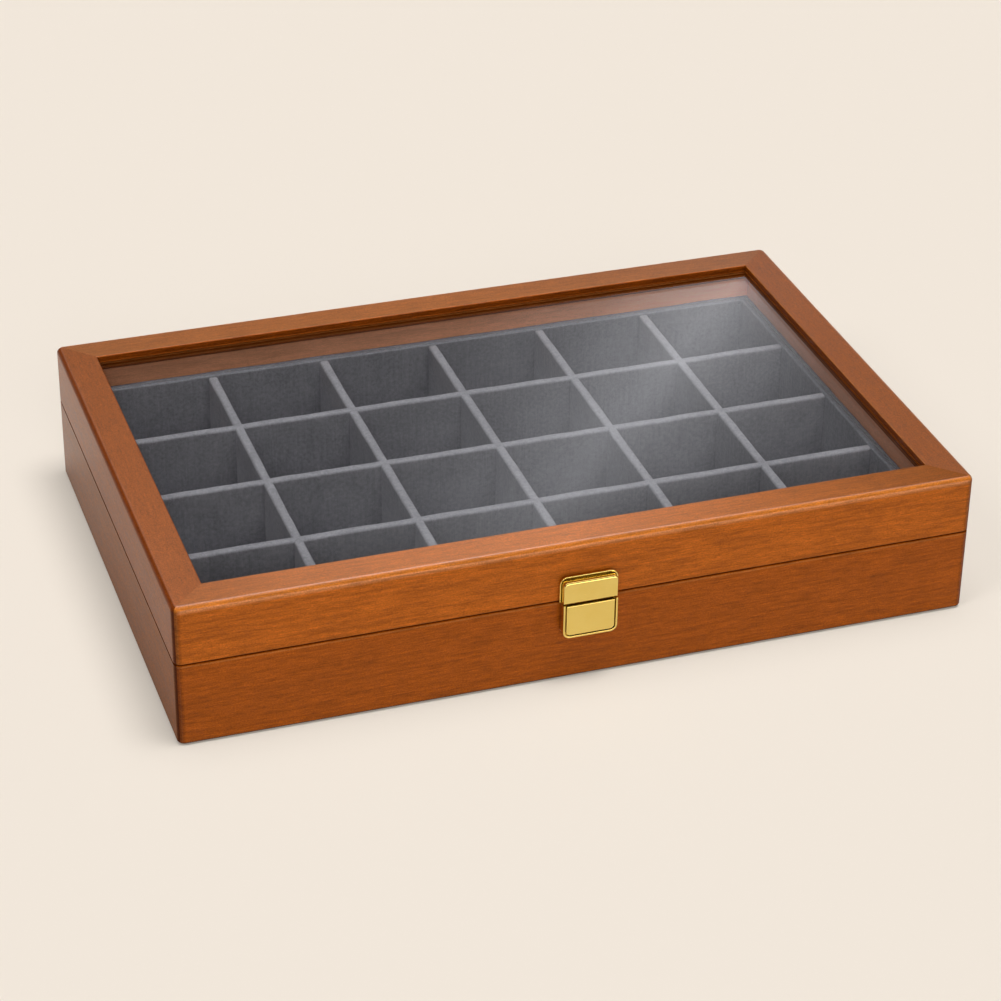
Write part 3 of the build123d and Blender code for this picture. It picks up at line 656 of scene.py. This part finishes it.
def pane_glass():
    """Refracting glass, swapped for a clear shader for shadow rays and diffuse rays."""
    material, tree, output = new_material("float_glass")
    ripple = noise(tree, add(tree, "TexCoord").outputs["Object"], 6.0, 1.0)
    bump = add(tree, "Bump", {"Height": ripple, "Strength": 0.02, "Distance": 0.0005})
    glass = add(tree, "BsdfPrincipled", {
        "Base Color": GLASS_TINT, "Transmission Weight": 1.0, "Roughness": 0.0, "IOR": GLASS_INDEX,
        "Normal": bump.outputs["Normal"]})
    clear = add(tree, "BsdfTransparent", {"Color": CLEAR_TINT})
    path = add(tree, "LightPath").outputs
    either = calc(tree, "MAXIMUM", path["Is Shadow Ray"], path["Is Diffuse Ray"])
    surface = add(tree, "MixShader", {0: either, 1: glass.outputs["BSDF"], 2: clear.outputs["BSDF"]})
    tree.links.new(surface.outputs["Shader"], output.inputs["Surface"])
    return material


dress("glass_pane", pane_glass())
print("pane thickness:", round((PANE_TOP - PANE_FOOT) / MM, 2), "mm")

# %% [markdown]
# Suede over board is never quite flat: the top edges are soft and vary a little along their
# length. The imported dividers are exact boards, so each is replaced by a shape worked out as a
# grid: one parameter runs round the cross-section, an arch-topped rectangle, and the other
# along the board. A few slow sine waves with seeded phases push the surface in and out by
# about a tenth of a millimetre. A bevelled box would be quicker, but it would look machined.

# %% The cross-section of a wrapped board
ARCH_STEPS = 7
SIDE_STEPS = 5


def arch_profile(half_thickness, z_low, z_high, rounding):
    """Cross-section points (across, up), anticlockwise: flat bottom, plain sides with a few
    points up their height, and two quarter circles of the given radius at the top."""
    angles = np.linspace(0, math.pi / 2, ARCH_STEPS)
    sides = np.linspace(z_low, z_high - rounding, SIDE_STEPS + 1)[:-1]
    arc_across = half_thickness - rounding + rounding * np.cos(angles)
    right_arc = np.column_stack((arc_across, z_high - rounding + rounding * np.sin(angles)))
    left_arc = np.column_stack((-right_arc[::-1, 0], right_arc[::-1, 1]))
    right_side = np.column_stack((np.full(SIDE_STEPS, half_thickness), sides))
    left_side = np.column_stack((np.full(SIDE_STEPS, -half_thickness), sides[::-1]))
    return np.vstack((right_side, right_arc, left_arc, left_side))


print("points in a cross-section:", len(arch_profile(2.0 * MM, 0.0, 20.0 * MM, 1.0 * MM)))

# %% Carrying the cross-section along the board
ALONG_STEP = 2.5 * MM
WOBBLE = 0.10 * MM
WAVES = 4
SHORT_WAVE = 12 * MM
LONG_WAVE = 70 * MM
LEAN_SHARE = 0.6
SUNK = 1.2 * WOBBLE
TOP_ONLY = 8
rng = np.random.default_rng(24)


def slow_waves(along):
    """A sum of sine waves of 12 to 70 mm wavelength with random phases, of unit size."""
    lengths = rng.uniform(SHORT_WAVE, LONG_WAVE, WAVES)
    phases = rng.uniform(0, 2 * math.pi, WAVES)
    waves = np.sin(2 * math.pi * along[:, None] / lengths[None, :] + phases[None, :])
    return waves.sum(axis=1) / math.sqrt(WAVES)


def swept_board(start, end, profile, mitre_start, mitre_end, z_high):
    """Points of a profile carried along X. A mitre of 1 or -1 slants an end by 45 degrees.
    x(s, q) = lerp(start + mitre_start * across(q), end + mitre_end * across(q), s)."""
    count = max(2, int(round((end - start) / ALONG_STEP)) + 1)
    share = np.linspace(0, 1, count)[:, None]
    across, up = profile[:, 0][None, :], profile[:, 1][None, :]
    x = (start + mitre_start * across) * (1 - share) + (end + mitre_end * across) * share
    along = np.linspace(start, end, count)
    lift = slow_waves(along)[:, None] * WOBBLE
    lean = slow_waves(along)[:, None] * WOBBLE
    foot = profile[:, 1].min()
    height = (up - foot) / (z_high - foot)
    y = across + lean * height * np.sign(across) * LEAN_SHARE
    z = up + (lift - SUNK) * height ** TOP_ONLY
    return np.stack((x, np.broadcast_to(y, x.shape), np.broadcast_to(z, x.shape)), axis=2)


def quarter_turn(points, turns):
    """Points turned about Z by quarter turns: (x, y) becomes (-y, x) each time."""
    for _ in range(turns % 4):
        points = np.stack((-points[..., 1], points[..., 0], points[..., 2]), axis=-1)
    return points


print("a point every", round(ALONG_STEP / MM, 1), "mm along a board")

# %% From points to a piece
CREASE = math.radians(40)


def new_piece(name, points, faces, material, smooth=True):
    """A mesh object at the origin, unturned and unscaled: its place is in its mesh."""
    mesh = bpy.data.meshes.new(name)
    mesh.from_pydata(points.tolist(), [], faces)
    mesh.validate()
    if smooth:
        mesh.shade_smooth()
        mesh.set_sharp_from_angle(angle=CREASE)
    mesh.materials.append(material)
    piece = bpy.data.objects.new(name, mesh)
    bpy.context.scene.collection.objects.link(piece)
    return piece


def loft_faces(rows, columns, first):
    """Quads between neighbouring rows of a closed profile, and one cap at each end."""
    index = np.arange(rows * columns).reshape(rows, columns) + first
    after = np.roll(index, -1, axis=1)
    quads = np.stack((index[:-1], index[1:], after[1:], after[:-1]), axis=2)
    faces = quads.reshape(-1, 4).tolist() + [index[0].tolist(), index[-1][::-1].tolist()]
    return faces


def wrapped_piece(node, lofts, material):
    """One piece from several closed lofts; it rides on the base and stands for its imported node."""
    points, faces, first = [], [], 0
    for loft in lofts:
        rows, columns = loft.shape[:2]
        faces += loft_faces(rows, columns, first)
        points.append(loft.reshape(-1, 3))
        first += rows * columns
    piece = new_piece("suede_" + node, np.vstack(points), faces, material)
    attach(piece, "base")
    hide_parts(node)
    return piece


def box_of(node):
    """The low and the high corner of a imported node."""
    low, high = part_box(node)
    return np.array(low), np.array(high)


print("faces of a loft of 3 rows of 4 points:", len(loft_faces(3, 4, 0)))

# %% [markdown]
# The long dividers run the whole width. Each short one is made of the lengths between them,
# tucked a little into their suede and a touch lower, as wrapped boards that are pushed into
# place sit. A Boolean could cut the slots, but it would leave ragged faces.

# %% Dividers
TOP_ROUNDING = 1.1 * MM
SETTLE = 0.12 * MM
TUCK = 0.9 * MM
long_names = sorted(name for name in nodes if name.startswith("divider_long"))
short_names = sorted(name for name in nodes if name.startswith("divider_short"))
long_lines = []
for name in long_names:
    low, high = box_of(name)
    half = (high[1] - low[1]) / 2
    middle = (high[1] + low[1]) / 2
    long_lines.append((middle - half, middle + half))
    profile = arch_profile(half, low[2], high[2], TOP_ROUNDING)
    loft = swept_board(low[0], high[0], profile, 0, 0, high[2]) + np.array((0, middle, 0))
    wrapped_piece(name, [loft], suede)
for name in short_names:
    low, high = box_of(name)
    half = (high[0] - low[0]) / 2
    middle = (high[0] + low[0]) / 2
    tucked = [(near + TUCK, far - TUCK) for near, far in sorted(long_lines)]
    stops = [low[1]] + [edge for pair in tucked for edge in pair] + [high[1]]
    lofts = []
    for start, end in zip(stops[0::2], stops[1::2]):
        profile = arch_profile(half, low[2], high[2] - SETTLE, TOP_ROUNDING)
        along_x = swept_board(start, end, profile, 0, 0, high[2])
        lofts.append(quarter_turn(along_x, 1) + np.array((middle, 0, 0)))
    wrapped_piece(name, lofts, suede)
print("dividers:", len(long_names), "long,", len(short_names), "short")

# %% [markdown]
# The tray wall and the lining are boards too, with mitred corners. Each side is the same
# sweep, built along X and then turned into place by quarter turns. Mirroring one side would
# be shorter, but a mirror turns faces inside out and repeats the same waves.

# %% Tray walls and lining
SIDE_TURNS = {"back": 0, "left": 1, "front": 2, "right": 3}
WALL_ROUNDING = 0.8 * MM
LINER_ROUNDING = 0.6 * MM


def wrapped_side(prefix, side, rounding):
    """One side of a mitred ring, built at the back along X and turned to its own side."""
    node = f"{prefix}_{side}"
    low, high = box_of(node)
    along, deep = (0, 1) if side in ("front", "back") else (1, 0)
    near, far = sorted((abs(low[deep]), abs(high[deep])))
    half, middle = (far - near) / 2, (far + near) / 2
    profile = arch_profile(half, low[2], high[2], rounding)
    centre = (high[along] - low[along]) / 2 - half
    loft = swept_board(-centre, centre, profile, -1, 1, high[2]) + np.array((0, middle, 0))
    return wrapped_piece(node, [quarter_turn(loft, SIDE_TURNS[side])], rim_suede)


for side in SIDE_TURNS:
    wall = wrapped_side("tray_wall", side, WALL_ROUNDING)
    liner = wrapped_side("liner", side, LINER_ROUNDING)
    print(side, "faces:", len(wall.data.polygons), "wall,", len(liner.data.polygons), "lining")

# %% [markdown]
# Where the pane meets the wooden lip the maker lays a thin stick of moulding. It is one small
# profile carried round the opening: at every corner the profile point at a distance d outside
# the opening is (sx (X + d), sy (Y + d), z), so the mitres are exact. A curve with a bevel
# object could do it too, but it rounds its corners.

# %% Glazing
OPENING_X = 150.0 * MM
OPENING_Y = 95.0 * MM
STICK = [(-0.02, 0.30), (-0.20, 0.32), (-0.35, 0.22), (-0.40, 0.02), (-0.02, 0.02)]


def carried_round(name, profile, material):
    """A closed profile of (distance outside the opening, height above the pane) in mm, carried round."""
    points = np.array(profile) * MM
    sign_x = np.array((1, -1, -1, 1))[:, None]
    sign_y = np.array((1, 1, -1, -1))[:, None]
    x = sign_x * (OPENING_X + points[:, 0])
    y = sign_y * (OPENING_Y + points[:, 0])
    z = np.broadcast_to(PANE_TOP + points[:, 1], x.shape)
    index = np.arange(x.size).reshape(x.shape)
    after = np.roll(index, -1, axis=1)
    corners = (index, after, np.roll(after, -1, axis=0), np.roll(index, -1, axis=0))
    quads = np.stack(corners, axis=2).reshape(-1, 4).tolist()
    piece = new_piece(name, np.stack((x, y, z), axis=2).reshape(-1, 3), quads, material, smooth=False)
    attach(piece, "lid")
    return piece


stick_wood = varnished_wood(
    "varnished_stick", False, (0.45, 0.35, 0.65), STICK_TONE, STICK_TONE, EVEN, DULL_EDGE, (DULL, DULL))
stick_piece = carried_round("glazing_stick", STICK, stick_wood)
print("glazing stick faces:", len(stick_piece.data.polygons), "pane top at", round(PANE_TOP / MM, 2), "mm")

# %% [markdown]
# The bottom of each cell is a board under suede with a thin pad, so it swells a little
# between the dividers. A height field does this: z = base + rise * (1 - u^6)(1 - v^6) in each
# cell, where u and v run from -1 to 1 across the cell. A cloth simulation would give such a
# swell too, but it takes minutes, and the formula gives every cell the same tidy pad.

# %% The swelling of the cells
PAD_RISE = 0.5 * MM
CELL_GRID = 14
PAD_POWER = 6


def cell_edges(names, axis, low, high):
    """The sorted edges of the cells along one axis, from the divider boxes."""
    edges = [low]
    for name in names:
        box_low, box_high = box_of(name)
        edges += [box_low[axis], box_high[axis]]
    return sorted(edges + [high])


def pad_points(columns, rows, level):
    """The padded top as a grid over all cells: level + rise * (1 - u^6)(1 - v^6) in each of them."""
    across = np.concatenate([np.linspace(a, b, CELL_GRID) for a, b in zip(columns[0::2], columns[1::2])])
    deep = np.concatenate([np.linspace(a, b, CELL_GRID) for a, b in zip(rows[0::2], rows[1::2])])
    share = np.linspace(-1, 1, CELL_GRID)
    u = np.tile(share, len(columns) // 2)
    v = np.tile(share, len(rows) // 2)
    x, y = np.meshgrid(across, deep, indexing="ij")
    swell = (1 - u[:, None] ** PAD_POWER) * (1 - v[None, :] ** PAD_POWER)
    return np.stack((x, y, level + PAD_RISE * swell), axis=2)


floor_low, floor_high = box_of("tray_floor")
floor_columns = cell_edges(short_names, 0, floor_low[0], floor_high[0])
floor_rows = cell_edges(long_names, 1, floor_low[1], floor_high[1])
floor_top = pad_points(floor_columns, floor_rows, floor_high[2])
print("cells:", len(floor_columns) // 2, "by", len(floor_rows) // 2, "grid:", floor_top.shape[:2])

# %% Padded cell bottoms


def padded_floor(top, foot):
    """The padded top with a skirt down to its foot and a flat face below, closed all round."""
    count = top.shape[0] * top.shape[1]
    index = np.arange(count).reshape(top.shape[:2])
    corners = (index[:-1, :-1], index[1:, :-1], index[1:, 1:], index[:-1, 1:])
    quads = np.stack(corners, axis=2).reshape(-1, 4)
    rim = np.concatenate((index[:, 0], index[-1, 1:], index[-2::-1, -1], index[0, -2:0:-1]))
    below = top.reshape(-1, 3)[rim].copy()
    below[:, 2] = foot
    step = np.arange(len(rim))
    after = np.roll(step, -1)
    skirt = np.stack((count + step, count + after, rim[after], rim), axis=1)
    faces = quads.tolist() + skirt.tolist() + [(count + step)[::-1].tolist()]
    piece = new_piece("suede_tray_floor", np.vstack((top.reshape(-1, 3), below)), faces, suede)
    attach(piece, "base")
    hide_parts("tray_floor")
    return piece


floor_piece = padded_floor(floor_top, floor_low[2])
print("tray floor faces:", len(floor_piece.data.polygons))

# %% [markdown]
# The studio is a pale sweep. The floor is real, so that the box stands in its own faint
# shadow; part of it is plain colour, so that it stays as pale as a lit sweep. Varnish, brass
# and glass look like what they mirror, so mirror rays see a room of their own: dim, with a
# soft box high behind the box, a low strip in front and a pale ceiling. Real boxes of light
# could stand there, but then they would also light the box, and here each can be set alone.

# %% Floor
PALE = linear(241, 231, 219)
PLAIN_SEEN = 0.25
PLAIN_MIRRORED = 0.10
FLOOR_HALF = 8.0


def direct_rays(path):
    """Rays of the camera, also when they come through the glass."""
    return {0: path["Is Camera Ray"], 1: path["Is Transmission Ray"]}


def plain_share(tree):
    """How much of the floor is plain colour: a quarter for camera and glass rays, less for mirror rays."""
    path = add(tree, "LightPath").outputs
    direct = add(tree, "Math", direct_rays(path), operation="MAXIMUM").outputs[0]
    seen = calc(tree, "MULTIPLY", direct, PLAIN_SEEN)
    return calc(tree, "MAXIMUM", seen, calc(tree, "MULTIPLY", path["Is Glossy Ray"], PLAIN_MIRRORED))


def studio_floor():
    """A plane 16 m across. What is seen of it is part plain colour and part lit paint with the shadow."""
    material, tree, output = new_material("pale_floor")
    paint = add(tree, "BsdfDiffuse", {"Color": PALE, "Roughness": 0.0})
    plain = add(tree, "Emission", {"Color": PALE, "Strength": 1.0})
    both = add(tree, "MixShader", {0: plain_share(tree), 1: paint.outputs["BSDF"], 2: plain.outputs[0]})
    tree.links.new(both.outputs[0], output.inputs["Surface"])
    corners = np.array(((-1, -1, 0), (1, -1, 0), (1, 1, 0), (-1, 1, 0))) * FLOOR_HALF
    floor = new_piece("studio_floor", corners, [(0, 1, 2, 3)], material, smooth=False)


studio_floor()
print("floor:", 2 * FLOOR_HALF, "m across")

# %% What glossy surfaces mirror
DARK_ROOM = (0.19, 0.19, 0.20, 1.0)
CEILING_GLOW = (1.9, 1.85, 1.8, 1.0)
TOP_BOX_WAY = (0.155, 0.624, 0.766)
TOP_BOX_GLOW = (4.2, 4.1, 3.9, 1.0)
STRIP_WAY = (0.291, -0.957, 0.0)
STRIP_GLOW = (6.0, 5.7, 5.4, 1.0)


def dot(tree, first, second):
    """The dot product of two vectors: for directions, the cosine of the angle between them."""
    return add(tree, "VectorMath", {0: first, 1: second}, operation="DOT_PRODUCT").outputs["Value"]


def mirrored_room(tree):
    """A dim room with a pale ceiling, a soft box high behind and a low strip in front. Each glow is a ramp
    over the cosine between the direction looked in and that of the lamp."""
    way = add(tree, "TexCoord").outputs["Generated"]
    parts = add(tree, "SeparateXYZ", {"Vector": way}).outputs
    box = greys(tree, dot(tree, way, TOP_BOX_WAY), (0.942, 0.0), (0.966, 1.0))
    front = greys(tree, dot(tree, way, STRIP_WAY), (0.72, 0.0), (0.85, 1.0))
    low = greys(tree, parts["Z"], (0.0, 1.0), (0.24, 1.0), (0.34, 0.0))
    high = greys(tree, parts["Z"], (0.58, 0.0), (0.66, 1.0))
    behind = share_of(tree, parts["Y"], -0.35, -0.05)
    room = mix(tree, multiply(tree, high, behind), DARK_ROOM, CEILING_GLOW)
    room = mix(tree, box, room, TOP_BOX_GLOW)
    return mix(tree, multiply(tree, front, low), room, STRIP_GLOW)


print("soft box at", round(math.degrees(math.asin(TOP_BOX_WAY[2]))), "degrees up")

# %% Surroundings
LOW_SKY = 0.06
HIGH_SKY = 4.92
SKY_FOCUS = 23.0


def surroundings():
    """Light that gathers overhead as height^n, a pale wall for the camera, and a dim room for mirrors."""
    studio = bpy.data.worlds.new("studio")
    studio.use_nodes = True
    tree = studio.node_tree
    tree.nodes.clear()
    output = tree.nodes.new("ShaderNodeOutputWorld")
    path = add(tree, "LightPath").outputs
    height = add(tree, "SeparateXYZ", {"Vector": add(tree, "TexCoord").outputs["Generated"]}).outputs["Z"]
    focus = calc(tree, "POWER", calc(tree, "MAXIMUM", height, 0.0), SKY_FOCUS)
    sky = add(tree, "Math", {0: focus, 1: HIGH_SKY, 2: LOW_SKY}, operation="MULTIPLY_ADD").outputs[0]
    even = add(tree, "Background", {"Color": grey(1.0), "Strength": sky})
    wall = add(tree, "Background", {"Color": PALE, "Strength": 1.0})
    dim = add(tree, "Background", {"Color": mirrored_room(tree), "Strength": 1.0})
    direct = add(tree, "Math", direct_rays(path), operation="MAXIMUM").outputs[0]
    seen = add(tree, "MixShader", {0: direct, 1: even.outputs[0], 2: wall.outputs[0]})
    shown = add(tree, "MixShader", {0: path["Is Glossy Ray"], 1: seen.outputs[0], 2: dim.outputs[0]})
    tree.links.new(shown.outputs[0], output.inputs["Surface"])
    bpy.context.scene.world = studio
    return studio


world = surroundings()
print("nodes in the world:", len(world.node_tree.nodes))

# %% [markdown]
# Three broad soft lights fill what the sky leaves dark: one nearly overhead, one from the
# left and one from the front. A sun lamp with a wide angle is the simplest lamp of that kind,
# and its light is equally strong everywhere. An area lamp would fall off with distance. The
# suns are left out of mirrors and glass, where their round discs would show.

# %% Lamps
SUN_COLOUR = (1.0, 0.99, 0.975)


def sun(name, direction, energy, spread):
    """A lamp of even strength everywhere that mirrors don't show; the spread softens its shadow."""
    light = bpy.data.lights.new(name, "SUN")
    light.energy = energy
    light.angle = math.radians(spread)
    light.color = SUN_COLOUR
    lamp = bpy.data.objects.new(name, light)
    lamp.visible_glossy = False
    lamp.visible_transmission = False
    lamp.rotation_euler = (-Vector(direction)).to_track_quat("-Z", "Y").to_euler()
    bpy.context.scene.collection.objects.link(lamp)
    print(name, "energy", energy, "spread", spread, "degrees")


sun("top_light", (0.196, -0.104, 0.975), 1.153, 22)
sun("side_light", (-0.66, -0.24, 0.71), 0.46, 20)
sun("front_light", (-0.08, -0.86, 0.504), 0.56, 26)

# %% [markdown]
# A pane only shows that it is there by what it mirrors. A broad reflector far behind the right
# corner gives it a soft diagonal streak. It is a card that only mirror rays see, and its glow
# falls off to both sides of a slanting line. A white card under a lamp is the studio way, but
# the streak would have hard sides.

# %% Reflector for the pane
CARD_CENTRE = Vector((1.014, 2.445, 1.502))
CARD_ACROSS = Vector((0.9308, -0.3656, 0.0))
CARD_UP = Vector((-0.1758, -0.4476, 0.8768))
CARD_HALF = 1.5
CARD_SLANT = 0.77
CARD_TINT = (0.96, 0.97, 1.02, 1.0)
CARD_STRENGTH = 1.05
BAND_STOPS = ((0.05, 0.0), (0.25, 0.07), (0.38, 0.36), (0.52, 1.02), (0.61, 0.50), (0.72, 0.16), (0.95, 0.0))
FADE_STOPS = ((0.1, 1.0), (0.4, 0.72), (1.0, 0.22))


def card_glow():
    """A soft band, strongest where across + 0.77 up is near 0.03 m. Rays other than mirror rays pass."""
    material, tree, output = new_material("reflector_glow")
    place = add(tree, "TexCoord").outputs["Object"]
    offset = add(tree, "VectorMath", {0: place, 1: CARD_CENTRE}, operation="SUBTRACT").outputs["Vector"]
    across = dot(tree, offset, CARD_ACROSS + CARD_UP * CARD_SLANT)
    along = dot(tree, offset, CARD_UP - CARD_ACROSS * CARD_SLANT)
    band = greys(tree, share_of(tree, across, -0.6, 0.6), *BAND_STOPS)
    fade = greys(tree, share_of(tree, along, -0.3, 0.7), *FADE_STOPS)
    tinted = multiply(tree, multiply(tree, band, fade), CARD_TINT)
    light = add(tree, "Emission", {"Color": tinted, "Strength": CARD_STRENGTH})
    clear = add(tree, "BsdfTransparent", {"Color": grey(1.0)})
    mirrored = add(tree, "LightPath").outputs["Is Glossy Ray"]
    both = add(tree, "MixShader", {0: mirrored, 1: clear.outputs[0], 2: light.outputs[0]})
    tree.links.new(both.outputs[0], output.inputs["Surface"])
    return material


def reflector_card():
    """A square card whose corners are centre + a half across + b half up, for a and b of -1 and 1."""
    across, up = np.array(CARD_ACROSS) * CARD_HALF, np.array(CARD_UP) * CARD_HALF
    corners = np.array(CARD_CENTRE) + np.array((-across - up, across - up, across + up, up - across))
    card = new_piece("reflector_card", corners, [(3, 2, 1, 0)], card_glow(), smooth=False)


reflector_card()
print("reflector:", 2 * CARD_HALF, "m wide")
